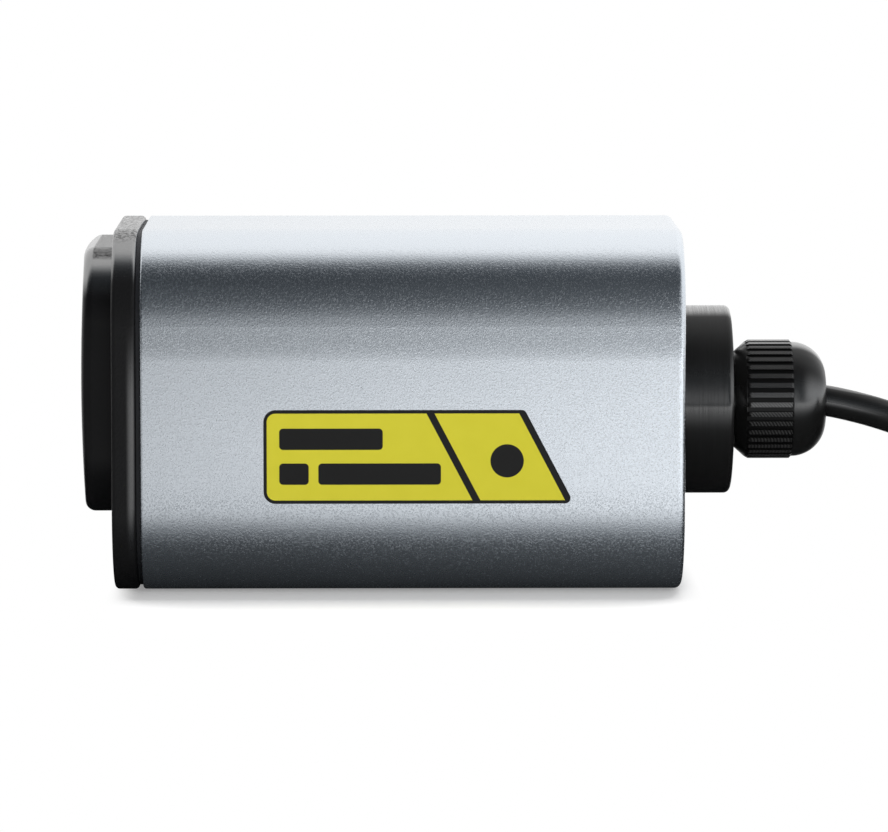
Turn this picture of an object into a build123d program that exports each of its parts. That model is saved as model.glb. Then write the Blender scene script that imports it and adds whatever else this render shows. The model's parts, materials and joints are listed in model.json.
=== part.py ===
"""Micro lidar sensor: a square aluminium housing with a black front frame and window bezel,
a turned rear collar with a cable gland, and the optics and circuit boards that it holds.

Frame, in millimetres: +X runs from the window to the cable, +Z is up, and the near side of
the photograph is -Y. The origin is under the middle of the sensor, on its bottom face.
Each piece is a function that returns its solid, and the last lines write them all."""

from build123d import *
from math import asin, cos, pi, radians, sin, tan
import os

# Housing: a square section with round corners, closed at the rear and open at the front
body_side = 46.0
body_length = 68.5
body_corner = 11.5
wall = 3.5
rear_wall = 4.0
cavity_corner = 8.0
rear_edge_round = 0.9
front_edge_round = 0.35

# What lies inside the housing is drawn for a cavity of this side, and follows the real one
drawn_cavity = 39.0
layout = (body_side - 2 * wall) / drawn_cavity

# Front frame: the black plate on the housing, over a thin gasket
frame_thickness = 3.1
frame_edge_round = 0.55
gasket_thickness = 0.5
gasket_inset = 0.55
gasket_width = 2.2
lip_length = 3.0
lip_wall = 1.3
lip_gap = 0.15

# Window bezel: the raised, slightly domed moulding, set above the middle of the frame
bezel_proud = 4.6
bezel_side = 4.0
bezel_above = 2.4
bezel_below = 9.9
bezel_corner = 8.5
bezel_wall = 2.2
bezel_lip = 1.2
bezel_edge_round = 1.3
dome_radius = 240.0
window_seat = 2.2
window_seal_thickness = 0.2
window_thickness = 1.5
window_gap = 0.15
peg_radius = 0.8
peg_length = 1.5
peg_gap = 0.05

# Screws that hold the frame, hidden under the bezel, and their bosses in the housing
front_screw_radius = 1.25
front_screw_reach = 8.0
front_screw_inset = 4.0
screw_head_radius = 2.4
screw_head_height = 1.5
screw_seat_depth = 1.6
screw_head_round = 0.3
socket_flats = 2.0
socket_depth = 0.9
boss_radius = 4.6 * layout
boss_bite = 0.1
boss_length = 14.0
boss_bore = 12.0
thread_gap = 0.02
hole_gap = 0.2

# Floor rail with two tapped mounting holes underneath
rail_width = 12.0 * layout
rail_height = 3.5 * layout
mount_hole_radius = 1.65
mount_hole_depth = 6.0
mount_hole_spacing = 40.0

# Optics: a wide receiving lens and a narrow emitting lens side by side
receiver_share = 0.6
barrel_side_gap = 0.8
barrel_between = 1.8
barrel_gap = 0.2
barrel_window_gap = 0.3
barrel_wall = 1.2
lens_ring_height = 1.2
lens_ring_wall = 0.8
lens_edge = 1.6
lens_bow = 1.1
ring_slot = 1.0
shoulder = 0.7
focal_plate = 2.5
optics_share = 0.526
flange_thickness = 3.0
flange_side_gap = 1.7
flange_boss_gap = 0.75
spine_boss_gap = 0.9
spine_top_gap = 1.75
flange_corner = 2.0
web_height = 5.0
optics_screw_radius = 1.0
optics_screw_pitch = 6.4
optics_screw_margin = 0.1
optics_screw_bite = 2.0
small_head_radius = 1.8
small_head_height = 1.2
small_socket_flats = 1.5
small_socket_depth = 0.7
photodiode_radius = 4.1
photodiode_height = 3.2
laser_radius = 2.8
laser_height = 3.0
can_flange = 0.5
can_brim = 0.6
can_glass_depth = 0.6
can_gap = 0.15
photodiode_glass_share = 0.55
laser_glass_share = 0.4

# Circuit boards: transceiver, processor and power, stacked behind the optics on spacers
board_count = 3
board_thickness = 1.6
board_gap = 0.5
spacer_flats = 4.0
spacer_y = 7.0 * layout
spacer_z_top = 15.5 * layout
spacer_z_bottom = -12.5 * layout
board_screw_radius = 1.0

# Components on the boards' backs, as drawn: places are (across, above the axis), sizes (width,
# height, depth). The chips are listed board by board.
shield_place = (-7.0 * layout, 2.25 * layout)
shield_size = (13.0 * layout, 11.0 * layout, 3.0)
shield_sheet = 0.3
chips = [[((8.0, 2.5), (6.0, 6.0, 1.2)), ((10.0, -4.5), (4.5, 3.5, 1.0))],
         [((-5.5, 1.5), (12.0, 12.0, 1.4)), ((8.5, 4.5), (7.0, 9.0, 1.1))],
         [((-11.5, 7.5), (7.0, 5.5, 1.5))]]
chokes = [((10.0, 7.5), (6.0, 6.0, 3.2)), ((0.0, 12.0), (7.0, 4.5, 2.6))]
capacitor_radius = 2.5 * layout
capacitor_height = 6.0
capacitor_y = 11.5 * layout
capacitor_z = -3.0 * layout
stack_connector = (16.0 * layout, 3.2 * layout)
stack_connector_heights = (10.8 * layout, -7.6 * layout)
component_round = 0.2

# Lead plug and the cores between it and the cable
plug_width = 11.0 * layout
plug_height = 6.0 * layout
plug_gap = 0.05
plug_grip = (4.0 * layout, 0.8, 1.5)
header_depth = 5.5
header_floor = 1.2
header_wall = 0.95
plug_stand = 4.5
core_count = 5
core_radius = 0.5
core_circle = 1.25
core_pitch = 2.0 * layout
core_run = 7.0
core_end_gap = 0.7
core_straight = 1.2
core_bend = 0.6

# Rear collar: a turned ring with a spigot through the rear wall and a ring nut inside
collar_radius = 12.15
collar_length = 6.85
collar_edge_round = 0.8
spigot_radius = 9.0
spigot_gap = 0.05
spigot_length = 8.0
ring_nut_radius = 12.0
ring_nut_height = 3.5
ring_nut_slots = 4
ring_nut_slot = 2.4
ring_nut_slot_depth = 1.2
o_ring_circle = 10.5
o_ring_radius = 0.7

# Cable gland: body with clamping fingers, rubber seal, and the ribbed, domed nut
gland_thread_radius = 6.0
gland_thread_length = 9.0
gland_hex_flats = 13.5
gland_hex_height = 3.4
gland_pocket_radius = 8.0
gland_pocket_depth = 3.4
neck_radius = 4.85
nut_gap = 0.5
nut_length = 11.9
nut_radius = 7.4
nut_rib_height = 0.27
nut_rib_width = 0.62
nut_rib_count = 38
nut_rib_lead = 0.5
nut_rib_start = 1.4
nut_rib_end = 7.45
nut_mouth_radius = 5.95
nut_face_radius = 6.15
nut_dome_round = 4.4
nut_hole_radius = 2.8
upper_thread_radius = 5.8
neck_length = 0.9
upper_thread_length = 3.4
finger_radius = 5.2
finger_length = 3.0
finger_count = 8
finger_slot = 0.9
finger_chamfer = 1.1
finger_slope = 0.7
seal_radius = 4.1
seal_length = 6.6

# Cable: straight through the gland, then free
cable_radius = 2.0
cable_bore_radius = 2.6

# Side label: a thin film on the flat of the near side
label_length = 39.0
label_height = 11.8
label_film = 0.12
label_corner = 1.5
label_tip_round = 0.7
label_from_front = 15.5
label_top_above_axis = 1.0
label_slant = 6.2

# Stations along X and the height of the sensor's axis
overall_length = (bezel_proud + frame_thickness + gasket_thickness + body_length + collar_length
                  + nut_gap + nut_length)
bezel_front = -overall_length / 2
frame_front = bezel_front + bezel_proud
frame_rear = frame_front + frame_thickness
housing_front = frame_rear + gasket_thickness
housing_rear = housing_front + body_length
cavity_rear = housing_rear - rear_wall
collar_rear = housing_rear + collar_length
nut_front = collar_rear + nut_gap
nut_end = nut_front + nut_length
axis_height = body_side / 2

cavity_side = body_side - 2 * wall
bezel_width = body_side - 2 * bezel_side
bezel_height = body_side - bezel_above - bezel_below
bezel_z = (bezel_below - bezel_above) / 2
window_front = bezel_front + window_seat + window_seal_thickness
window_rear = window_front + window_thickness
barrel_front = window_rear + barrel_window_gap

# Screw bosses stand against the cavity's sides, behind the bezel's corners
boss_y = cavity_side / 2 - boss_radius + boss_bite
boss_reach = bezel_height / 2 - front_screw_inset
boss_places = [(side * boss_y, bezel_z + level * boss_reach) for side in (-1, 1) for level in (-1, 1)]

# The two barrels share the bezel's pocket, and the flange fills the room between the bosses
pocket_width = bezel_width - 2 * bezel_wall
barrel_room = (pocket_width - 2 * barrel_side_gap - barrel_between) / 2
receiver_radius = receiver_share * barrel_room
emitter_radius = barrel_room - receiver_radius
receiver_y = receiver_radius + barrel_side_gap - pocket_width / 2
emitter_y = pocket_width / 2 - barrel_side_gap - emitter_radius
barrels_meet_y = receiver_y + receiver_radius + barrel_between / 2
flange_width = cavity_side - 2 * flange_side_gap
flange_height = 2 * (boss_reach - boss_radius - flange_boss_gap)
spine_width = 2 * (boss_y - boss_radius - spine_boss_gap)
spine_height = 2 * (cavity_side / 2 - spine_top_gap - bezel_z)
optics_screw_reach = spine_height / 2 - small_head_radius - optics_screw_margin

# The optics and the boards share the length that the lead's plug and the collar leave
stack_length = (body_length - spigot_length - board_count * board_thickness - header_depth
                - plug_stand - core_run - core_end_gap)
optics_length = optics_share * stack_length
board_spacing = (stack_length - optics_length) / (board_count - 1)
optics_rear = housing_front + optics_length
board_fronts = [optics_rear + n * (board_thickness + board_spacing) for n in range(board_count)]
board_backs = [x + board_thickness for x in board_fronts]
spacer_places = [(side * spacer_y, z) for side in (-1, 1) for z in (spacer_z_top, spacer_z_bottom)]
header_front = board_backs[2]
cores_front = header_front + header_depth + plug_stand
cable_inner_end = cores_front + core_run

cable_grip_end = collar_rear + nut_gap + neck_length + upper_thread_length + finger_length

# The coil that the unseen length is wound into: full rows of turns, and a narrower row on top
coil_distance = 45.1
coil_aside = 13.4
coil_mean_radius = 21.7
coil_turn_pitch = 4.15
coil_row_pitch = 4.05
coil_rows = 3
coil_row_turns = 4
coil_top_turns = 2
coil_crossing = 0.4
coil_inner = coil_mean_radius - (coil_row_turns - 1) / 2 * coil_turn_pitch - cable_radius
coil_outer = coil_mean_radius + (coil_row_turns - 1) / 2 * coil_turn_pitch + cable_radius
coil_top_inner = coil_mean_radius - (coil_top_turns - 1) / 2 * coil_turn_pitch - cable_radius
coil_top_outer = coil_mean_radius + (coil_top_turns - 1) / 2 * coil_turn_pitch + cable_radius
coil_low_height = 2 * cable_radius + (coil_rows - 1) * coil_row_pitch
coil_height = coil_low_height + 2 * cable_radius + coil_crossing
coil_centre = (nut_end + coil_distance, coil_aside)
tie_thickness = 0.8
tie_width = 4.8
tie_gap = 0.3
tie_angle = 140.0
tie_head = (3.2, 5.6, 5.0)

# The free cable: from the seal's end onto the coil's top row, then the tail round the coil's side.
# The lead's points are shares of its way to where it joins the coil: behind, aside and down.
lead_join_angle = -115.0
lead_clearance = 0.05
lead_points = [(-0.051, 0.0, 0.0), (0.046, 0.0, 0.051), (0.217, 0.012, 0.226), (0.388, 0.074, 0.480),
               (0.553, 0.220, 0.768), (0.702, 0.436, 0.955), (0.844, 0.700, 0.994), (1.0, 1.0, 1.0)]
tail_turns = [(-72, 1.0), (-54, 2.3), (-36, 2.5), (-18, 2.5), (0, 2.6)]
tail_core_straight = 1.5
tail_core_pitch = 2.2
tail_core_middle = 8.2
tail_core_length = 15.0
tail_core_fan = 0.9
ferrule_wall = 0.3
ferrule_collar = 2.2
ferrule_barrel = 6.0


def section(x):
    """The plane across the sensor at station x: its first axis is +Y, its second +Z, from the axis."""
    return Plane(origin=(x, 0, axis_height), x_dir=(0, 1, 0), z_dir=(1, 0, 0))


def slab(outline, x_start, x_end):
    """A flat outline, drawn across the sensor, given thickness between two stations."""
    return extrude(section(x_start) * outline, x_end - x_start)


def turned(profile, y=0.0, z=0.0):
    """A solid of revolution along X. The profile is a list of (station, radius)."""
    face = make_face(Polyline(*[(x, 0, r) for x, r in profile], close=True))
    return Pos(0, y, axis_height + z) * revolve(face, Axis.X, 360)


def rod(x_start, x_end, radius, y=0.0, z=0.0):
    """A plain cylinder along X."""
    return slab(Pos(y, z) * Circle(radius), x_start, x_end)


def body_outline(inset=0.0):
    """The housing's square section with round corners, drawn in by an inset."""
    side = body_side - 2 * inset
    return RectangleRounded(side, side, body_corner - inset)


def cavity_outline(inset=0.0):
    """The square of the cavity with round corners, drawn in by an inset."""
    side = cavity_side - 2 * inset
    return RectangleRounded(side, side, cavity_corner - inset)


def sliding_outline(gap):
    """What slides down the cavity: clear of its walls, its screw bosses and its floor rail."""
    room = cavity_outline(gap)
    for y, z in boss_places:
        room -= Pos(y, z) * Circle(boss_radius + gap)
    rail_top = -cavity_side / 2 + rail_height
    return room - Pos(0, rail_top - rail_height / 2) * Rectangle(rail_width + 2 * gap, rail_height + 2 * gap)


def bezel_outline(inset=0.0):
    """The raised bezel's outline, drawn in by an inset."""
    shape = RectangleRounded(bezel_width - 2 * inset, bezel_height - 2 * inset, bezel_corner - inset)
    return Pos(0, bezel_z) * shape


def spread(made):
    """One node from several like pieces, kept as separate solids."""
    return Compound(children=list(made))


def outer_edges(solid, x):
    """The edges of the face that closes a solid at station x, outermost loop only."""
    face = min(solid.faces().filter_by(Axis.X), key=lambda f: abs(f.center().X - x))
    return face.outer_wire().edges()


def housing():
    """The machined body: rounded square outside, deep cavity with screw bosses and a floor rail,
    a hole in its rear wall for the collar's spigot, and two tapped holes underneath."""
    body = slab(body_outline(), housing_front, housing_rear)
    body = fillet(outer_edges(body, housing_rear), rear_edge_round)
    body = fillet(outer_edges(body, housing_front), front_edge_round)
    bosses = Sketch() + [Pos(y, z) * Circle(boss_radius) for y, z in boss_places]
    rail_middle = -cavity_side / 2 + rail_height / 2
    room = cavity_outline() - Pos(0, rail_middle) * Rectangle(rail_width, rail_height)
    body -= slab(room - bosses, housing_front, housing_front + boss_length)
    body -= slab(room, housing_front + boss_length, cavity_rear)
    for y, z in boss_places:
        body -= rod(housing_front, housing_front + boss_bore, front_screw_radius + thread_gap, y, z)
    body -= rod(cavity_rear, housing_rear, spigot_radius + spigot_gap)
    middle = (housing_front + housing_rear) / 2
    for side in (-1, 1):
        body -= (Pos(middle + side * mount_hole_spacing / 2, 0, mount_hole_depth / 2)
                 * Cylinder(mount_hole_radius, mount_hole_depth))
    return body


def front_gasket():
    """The flat seal between the housing's rim and the frame, a little inside both."""
    ring = body_outline(gasket_inset) - body_outline(gasket_inset + gasket_width)
    return slab(ring, frame_rear, housing_front)


def front_frame():
    """The black plate on the housing: two lens openings, four sunk screw holes, holes for the
    bezel's pegs, and a lip behind that locates it in the cavity."""
    plate = slab(body_outline(), frame_front, frame_rear)
    plate = fillet(outer_edges(plate, frame_front), frame_edge_round)
    plate = fillet(outer_edges(plate, frame_rear), frame_edge_round)
    lip = cavity_outline(lip_gap) - cavity_outline(lip_gap + lip_wall)
    for y, z in boss_places:
        lip -= Pos(y, z) * Circle(boss_radius + 2 * lip_gap)
    lip -= Pos(0, -cavity_side / 2) * Rectangle(rail_width + 4 * lip_gap, 2 * rail_height + 4 * lip_gap)
    plate += slab(lip, frame_rear, frame_rear + lip_length)
    plate -= rod(frame_front, frame_rear, receiver_radius + barrel_gap, receiver_y, bezel_z)
    plate -= rod(frame_front, frame_rear, emitter_radius + barrel_gap, emitter_y, bezel_z)
    for y, z in boss_places:
        plate -= rod(frame_front, frame_rear, front_screw_radius + hole_gap, y, z)
        plate -= rod(frame_front, frame_front + screw_seat_depth, screw_head_radius + hole_gap, y, z)
    for z in peg_heights():
        plate -= rod(frame_front, frame_front + peg_length + peg_gap, peg_radius + peg_gap, 0, z)
    for y, z in optics_screw_places():
        plate -= rod(frame_rear - optics_screw_bite, frame_rear, optics_screw_radius + thread_gap, y, z)
    return plate


def peg_heights():
    """Heights of the two locating pegs, in the middle of the bezel's upper and lower walls."""
    reach = bezel_height / 2 - bezel_wall / 2
    return [bezel_z - reach, bezel_z + reach]


def window_bezel():
    """The raised moulding around the window: domed front, rounded edge, a lip in front of the
    window and a pocket behind it, with two pegs into the frame."""
    rim = slab(bezel_outline(), bezel_front, frame_front)
    dome = Pos(bezel_front + dome_radius, 0, axis_height + bezel_z) * Sphere(dome_radius)
    rim = rim & dome
    rim = fillet(rim.faces().sort_by(Axis.X)[0].edges(), bezel_edge_round)
    rim -= slab(bezel_outline(bezel_wall), bezel_front + window_seat, frame_front)
    rim -= slab(bezel_outline(bezel_wall + bezel_lip), bezel_front, bezel_front + window_seat)
    for z in peg_heights():
        rim += rod(frame_front, frame_front + peg_length, peg_radius, 0, z)
    return rim


def window_seal():
    """The thin bonding frame between the bezel's lip and the window."""
    ring = bezel_outline(bezel_wall + window_gap) - bezel_outline(bezel_wall + bezel_lip)
    return slab(ring, bezel_front + window_seat, window_front)


def front_window():
    """The dark plate that both lenses look through."""
    return slab(bezel_outline(bezel_wall + window_gap), window_front, window_rear)


def screw(x_seat, reach, radius, head_radius, head_height, flats, depth, y, z, points_back=False):
    """A socket-head screw along X. Its head lies in front of x_seat, or behind it if it points back."""
    way = -1 if points_back else 1
    shank = rod(min(x_seat, x_seat + way * reach), max(x_seat, x_seat + way * reach), radius, y, z)
    top = x_seat - way * head_height
    head = rod(min(x_seat, top), max(x_seat, top), head_radius, y, z)
    rim = min(head.edges().filter_by(GeomType.CIRCLE), key=lambda e: abs(e.center().X - top))
    head = fillet(rim, screw_head_round)
    socket = Pos(y, z) * RegularPolygon(flats / 2, 6, major_radius=False)
    head -= slab(socket, min(top, top + way * depth), max(top, top + way * depth))
    return head + shank


def front_screws():
    """Four socket screws sunk in the frame, under the bezel, that pull it onto the housing."""
    seat = frame_front + screw_seat_depth
    return spread(screw(seat, front_screw_reach, front_screw_radius, screw_head_radius, screw_head_height,
                        socket_flats, socket_depth, y, z) for y, z in boss_places)


def lens_stack(radius):
    """Radii that a lens seat is worked out from: (lens and ring, clear opening)."""
    lens_radius = radius - barrel_wall
    return lens_radius, lens_radius - shoulder


def barrel_bore(radius, y, can_radius, can_height):
    """The hole down one barrel: ring and lens seat, a taper to the focus, and the can's pocket."""
    lens_radius, clear = lens_stack(radius)
    shelf = barrel_front + lens_ring_height + lens_edge
    pocket = optics_rear - can_height - can_gap
    return turned([(barrel_front, 0), (barrel_front, lens_radius), (shelf, lens_radius), (shelf, clear),
                   (pocket, can_radius + can_gap), (optics_rear, can_radius + can_gap), (optics_rear, 0)],
                  y, bezel_z)


def optics_screw_places():
    """The four small screws that hold the optics block to the back of the frame."""
    return [(barrels_meet_y + side * optics_screw_pitch / 2, bezel_z + level * optics_screw_reach)
            for side in (-1, 1) for level in (-1, 1)]


def optics_block():
    """The black block that holds both lenses: two barrels through the frame, a cross-shaped
    flange against its back, a web between the barrels and a plate that carries the first board."""
    block = rod(barrel_front, optics_rear, receiver_radius, receiver_y, bezel_z)
    block += rod(barrel_front, optics_rear, emitter_radius, emitter_y, bezel_z)
    cross = Pos(0, bezel_z) * (RectangleRounded(flange_width, flange_height, flange_corner)
                               + RectangleRounded(spine_width, spine_height, flange_corner))
    block += slab(cross, frame_rear, frame_rear + flange_thickness)
    middle = (receiver_y + emitter_y) / 2
    web = Pos(middle, bezel_z) * Rectangle(emitter_y - receiver_y, web_height)
    block += slab(web, frame_rear, optics_rear)
    block += slab(sliding_outline(board_gap), optics_rear - focal_plate, optics_rear)
    block -= barrel_bore(receiver_radius, receiver_y, photodiode_radius, photodiode_height)
    block -= barrel_bore(emitter_radius, emitter_y, laser_radius, laser_height)
    for y, z in optics_screw_places():
        block -= rod(frame_rear, frame_rear + flange_thickness, optics_screw_radius + hole_gap, y, z)
    for y, z in spacer_places:
        block -= rod(optics_rear - focal_plate, optics_rear, board_screw_radius + thread_gap, y, z)
    return block


def optics_screws():
    """Four small screws through the block's flange into the frame."""
    seat = frame_rear + flange_thickness
    reach = flange_thickness + optics_screw_bite - hole_gap
    return spread(screw(seat, reach, optics_screw_radius, small_head_radius, small_head_height,
                        small_socket_flats, small_socket_depth, y, z, points_back=True)
                  for y, z in optics_screw_places())


def lens(radius, y):
    """A plano-convex lens: flat against its shelf, bowed towards the window."""
    lens_radius, clear = lens_stack(radius)
    rim_x = barrel_front + lens_ring_height
    flat_x = rim_x + lens_edge
    seat_radius = lens_radius - thread_gap
    open_radius = lens_radius - lens_ring_wall
    crown_x = rim_x - lens_bow
    bow_radius = (open_radius ** 2 + lens_bow ** 2) / (2 * lens_bow)
    half = asin(open_radius / bow_radius) / 2
    middle = (crown_x + bow_radius * (1 - cos(half)), 0, bow_radius * sin(half))
    profile = (Polyline((rim_x, 0, open_radius), (rim_x, 0, seat_radius), (flat_x, 0, seat_radius),
                        (flat_x, 0, 0), (crown_x, 0, 0))
               + ThreePointArc((crown_x, 0, 0), middle, (rim_x, 0, open_radius)))
    return Pos(0, y, axis_height + bezel_z) * revolve(make_face(profile), Axis.X, 360)


def lens_ring(radius, y):
    """The threaded ring that holds a lens on its shelf, with two spanner slots."""
    lens_radius, clear = lens_stack(radius)
    ring = Circle(lens_radius - thread_gap) - Circle(lens_radius - lens_ring_wall)
    made = slab(Pos(y, bezel_z) * ring, barrel_front, barrel_front + lens_ring_height)
    slot = Pos(y, bezel_z) * Rectangle(ring_slot, 2 * radius)
    return made - slab(slot, barrel_front, barrel_front + lens_ring_height / 2)


def diode_can(y, can_radius, can_height, glass_share):
    """A metal-can diode on the first board's front: a flange, a can and the hole over its chip."""
    flange_x = optics_rear - can_flange
    top_x = optics_rear - can_height
    can = rod(flange_x, optics_rear, can_radius, y, bezel_z)
    can += rod(top_x, flange_x, can_radius - can_brim, y, bezel_z)
    return can - rod(top_x, top_x + can_glass_depth, can_radius * glass_share, y, bezel_z)


def circuit_board(n):
    """One of the three boards, cut to slide past the bosses, with holes for the spacer screws."""
    x = board_fronts[n]
    board = slab(sliding_outline(board_gap), x, x + board_thickness)
    for y, z in spacer_places:
        board -= rod(x, x + board_thickness, board_screw_radius + hole_gap, y, z)
    return board


def block_on(x, y, z, width, height, depth):
    """A rectangular component standing back from station x."""
    return slab(Pos(y, z) * RectangleRounded(width, height, component_round), x, x + depth)


def shield_can():
    """The folded metal can over the receiver's amplifier."""
    width, height, depth = shield_size
    can = block_on(board_backs[0], *shield_place, width, height, depth)
    inside = block_on(board_backs[0], *shield_place, width - 2 * shield_sheet, height - 2 * shield_sheet,
                      depth - shield_sheet)
    return can - inside


def component(x, place, size):
    """A component standing back from station x. Its place and outline follow the cavity."""
    width, height, depth = size
    return block_on(x, place[0] * layout, place[1] * layout, width * layout, height * layout, depth)


def board_chips():
    """The larger chips: pulse driver, processor, memory and regulator."""
    return spread(component(x, place, size) for x, row in zip(board_backs, chips) for place, size in row)


def power_parts():
    """Capacitors and chokes on the power board, standing back from it."""
    x = board_backs[2]
    cans = [rod(x, x + capacitor_height, capacitor_radius, side * capacitor_y, capacitor_z)
            for side in (-1, 1)]
    return spread(cans + [component(x, place, size) for place, size in chokes])


def stack_connectors():
    """The pin blocks that join each board to the next."""
    return spread(block_on(x, 0.0, z, *stack_connector, board_spacing)
                  for x, z in zip(board_backs, stack_connector_heights))


def board_spacers():
    """Eight hexagonal spacers, four between each pair of boards."""
    hexagon = RegularPolygon(spacer_flats / 2, 6, major_radius=False) - Circle(board_screw_radius + hole_gap)
    return spread(slab(Pos(y, z) * hexagon, x, x + board_spacing)
                  for x in board_backs[:2] for y, z in spacer_places)


def stack_screws():
    """Four long screws through the boards and spacers into the optics block's plate."""
    seat = board_backs[2]
    reach = seat - (optics_rear - focal_plate) - hole_gap
    return spread(screw(seat, reach, board_screw_radius, small_head_radius, small_head_height,
                        small_socket_flats, small_socket_depth, y, z, points_back=True)
                  for y, z in spacer_places)


def lead_header():
    """The socket on the power board that the lead plug goes into, a shroud open to the rear."""
    width, height = plug_width + 2 * plug_gap, plug_height + 2 * plug_gap
    shell = block_on(header_front, 0.0, 0.0, width + 2 * header_wall, height + 2 * header_wall, header_depth)
    return shell - block_on(header_front + header_floor, 0.0, 0.0, width, height, header_depth)


def lead_plug():
    """The plug on the cable's cores, seated in its header."""
    start = header_front + header_floor
    body = block_on(start, 0.0, 0.0, plug_width, plug_height, cores_front - start)
    width, height, depth = plug_grip
    return body + block_on(cores_front - depth, 0.0, (plug_height + height) / 2, width, height, depth)


def core_angle(n):
    """Where one of the cable's cores sits round its centre."""
    return 2 * pi * n / core_count


def core_order():
    """The cores' numbers, sorted by how far across they leave the jacket, so that none crosses."""
    return sorted(range(core_count), key=lambda n: cos(core_angle(n)))


def core_tube(route, radii):
    """One insulated core along its route."""
    path = FilletPolyline(*route, radius=radii)
    return sweep(Plane(origin=path @ 0, z_dir=path % 0) * Circle(core_radius), path)


def inner_cores():
    """The cable's cores, from their ring inside the jacket to their row in the plug."""
    made = []
    for place, n in enumerate(core_order()):
        across = (place - (core_count - 1) / 2) * core_pitch
        y, z = core_circle * cos(core_angle(n)), core_circle * sin(core_angle(n))
        route = [(cores_front, across, axis_height), (cores_front + core_straight, across, axis_height),
                 (cable_inner_end - core_straight, y, axis_height + z), (cable_inner_end, y, axis_height + z)]
        made.append(core_tube(route, core_bend))
    return spread(made)


def cable_entry():
    """The cable's jacket from inside the housing to the end of the gland's seal."""
    return rod(cable_inner_end, cable_grip_end, cable_radius)


def rear_collar():
    """The turned collar: a smooth ring outside, a spigot through the rear wall, a bore tapped for
    the gland, a pocket that swallows the gland's hexagon, and a groove for the O-ring."""
    spigot_front = housing_rear - spigot_length
    collar = turned([(spigot_front, 0), (spigot_front, spigot_radius), (housing_rear, spigot_radius),
                     (housing_rear, collar_radius), (collar_rear, collar_radius), (collar_rear, 0)])
    collar = fillet(outer_edges(collar, collar_rear), collar_edge_round)
    collar -= rod(spigot_front, collar_rear, gland_thread_radius + thread_gap)
    collar -= rod(collar_rear - gland_pocket_depth, collar_rear, gland_pocket_radius)
    groove = Circle(o_ring_circle + o_ring_radius) - Circle(o_ring_circle - o_ring_radius)
    return collar - slab(groove, housing_rear, housing_rear + 2 * o_ring_radius)


def collar_o_ring():
    """The O-ring in the collar's groove, against the rear wall."""
    ring = Rot(0, 90, 0) * Torus(o_ring_circle, o_ring_radius - thread_gap)
    return Pos(housing_rear + o_ring_radius, 0, axis_height) * ring


def collar_ring_nut():
    """The slotted ring nut inside the housing that draws the collar onto the rear wall."""
    ring = Circle(ring_nut_radius) - Circle(spigot_radius + thread_gap)
    for turn in range(ring_nut_slots):
        notch = Pos(ring_nut_radius, 0) * Rectangle(2 * ring_nut_slot_depth, ring_nut_slot)
        ring -= Rot(0, 0, 360 / ring_nut_slots * turn) * notch
    return slab(ring, cavity_rear - ring_nut_height, cavity_rear)


def gland_body():
    """The gland's body: entry thread, hexagon sunk in the collar, neck, upper thread, and a crown
    of clamping fingers, bored for the cable with a wider seat for the seal."""
    hex_front = collar_rear - gland_pocket_depth
    hex_rear = hex_front + gland_hex_height
    neck_end = hex_rear + nut_gap + neck_length
    thread_end = neck_end + upper_thread_length
    crown_end = thread_end + finger_length
    thread_front = hex_front - gland_thread_length
    body = turned([(thread_front, 0), (thread_front, gland_thread_radius), (hex_rear, gland_thread_radius),
                   (hex_rear, neck_radius), (neck_end, neck_radius), (neck_end, upper_thread_radius),
                   (thread_end, upper_thread_radius), (thread_end, finger_radius),
                   (crown_end - finger_chamfer, finger_radius),
                   (crown_end, finger_radius - finger_slope * finger_chamfer), (crown_end, 0)])
    body += slab(RegularPolygon(gland_hex_flats / 2, 6, major_radius=False), hex_front, hex_rear)
    body -= rod(thread_front, crown_end, cable_bore_radius)
    body -= rod(crown_end - seal_length, crown_end, seal_radius)
    for n in range(finger_count // 2):
        cut = Rot(0, 0, 360 / finger_count * n) * Rectangle(4 * finger_radius, finger_slot)
        body -= slab(cut, thread_end, crown_end)
    return body


def gland_seal():
    """The rubber sleeve that the fingers squeeze onto the cable."""
    ring = Circle(seal_radius - thread_gap) - Circle(cable_radius)
    return slab(ring, cable_grip_end - seal_length, cable_grip_end)


def gland_nut():
    """The gland's nut: a bevelled front, a band of grip ribs, a round dome, and inside it a thread,
    a cone that closes the fingers, and the hole that the cable leaves by."""
    shell = turned([(nut_front, 0), (nut_front, nut_face_radius), (nut_front + nut_rib_start, nut_radius),
                    (nut_end, nut_radius), (nut_end, 0)])
    shell = fillet(outer_edges(shell, nut_end), nut_dome_round)
    rib = Pos(nut_radius, 0) * Rectangle(2 * nut_rib_height, nut_rib_width)
    band = Sketch() + [Rot(0, 0, 360 / nut_rib_count * n) * rib for n in range(nut_rib_count)]
    rib_top = nut_radius + nut_rib_height
    rib_start, rib_end = nut_front + nut_rib_start, nut_front + nut_rib_end
    envelope = turned([(rib_start, 0), (rib_start, nut_radius), (rib_start + nut_rib_lead, rib_top),
                       (rib_end - nut_rib_lead / 2, rib_top), (rib_end, nut_radius), (rib_end, 0)])
    shell += slab(band, rib_start, rib_end) & envelope
    thread_end = nut_front + neck_length + upper_thread_length
    cone_start = thread_end + finger_length - finger_chamfer
    cone_radius = finger_radius + hole_gap
    cone_end = cone_start + (cone_radius - nut_hole_radius) / finger_slope
    bore = turned([(nut_front, 0), (nut_front, nut_mouth_radius), (thread_end, nut_mouth_radius),
                   (thread_end, cone_radius), (cone_start, cone_radius), (cone_end, nut_hole_radius),
                   (nut_end, nut_hole_radius), (nut_end, 0)])
    return shell - bore


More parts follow.
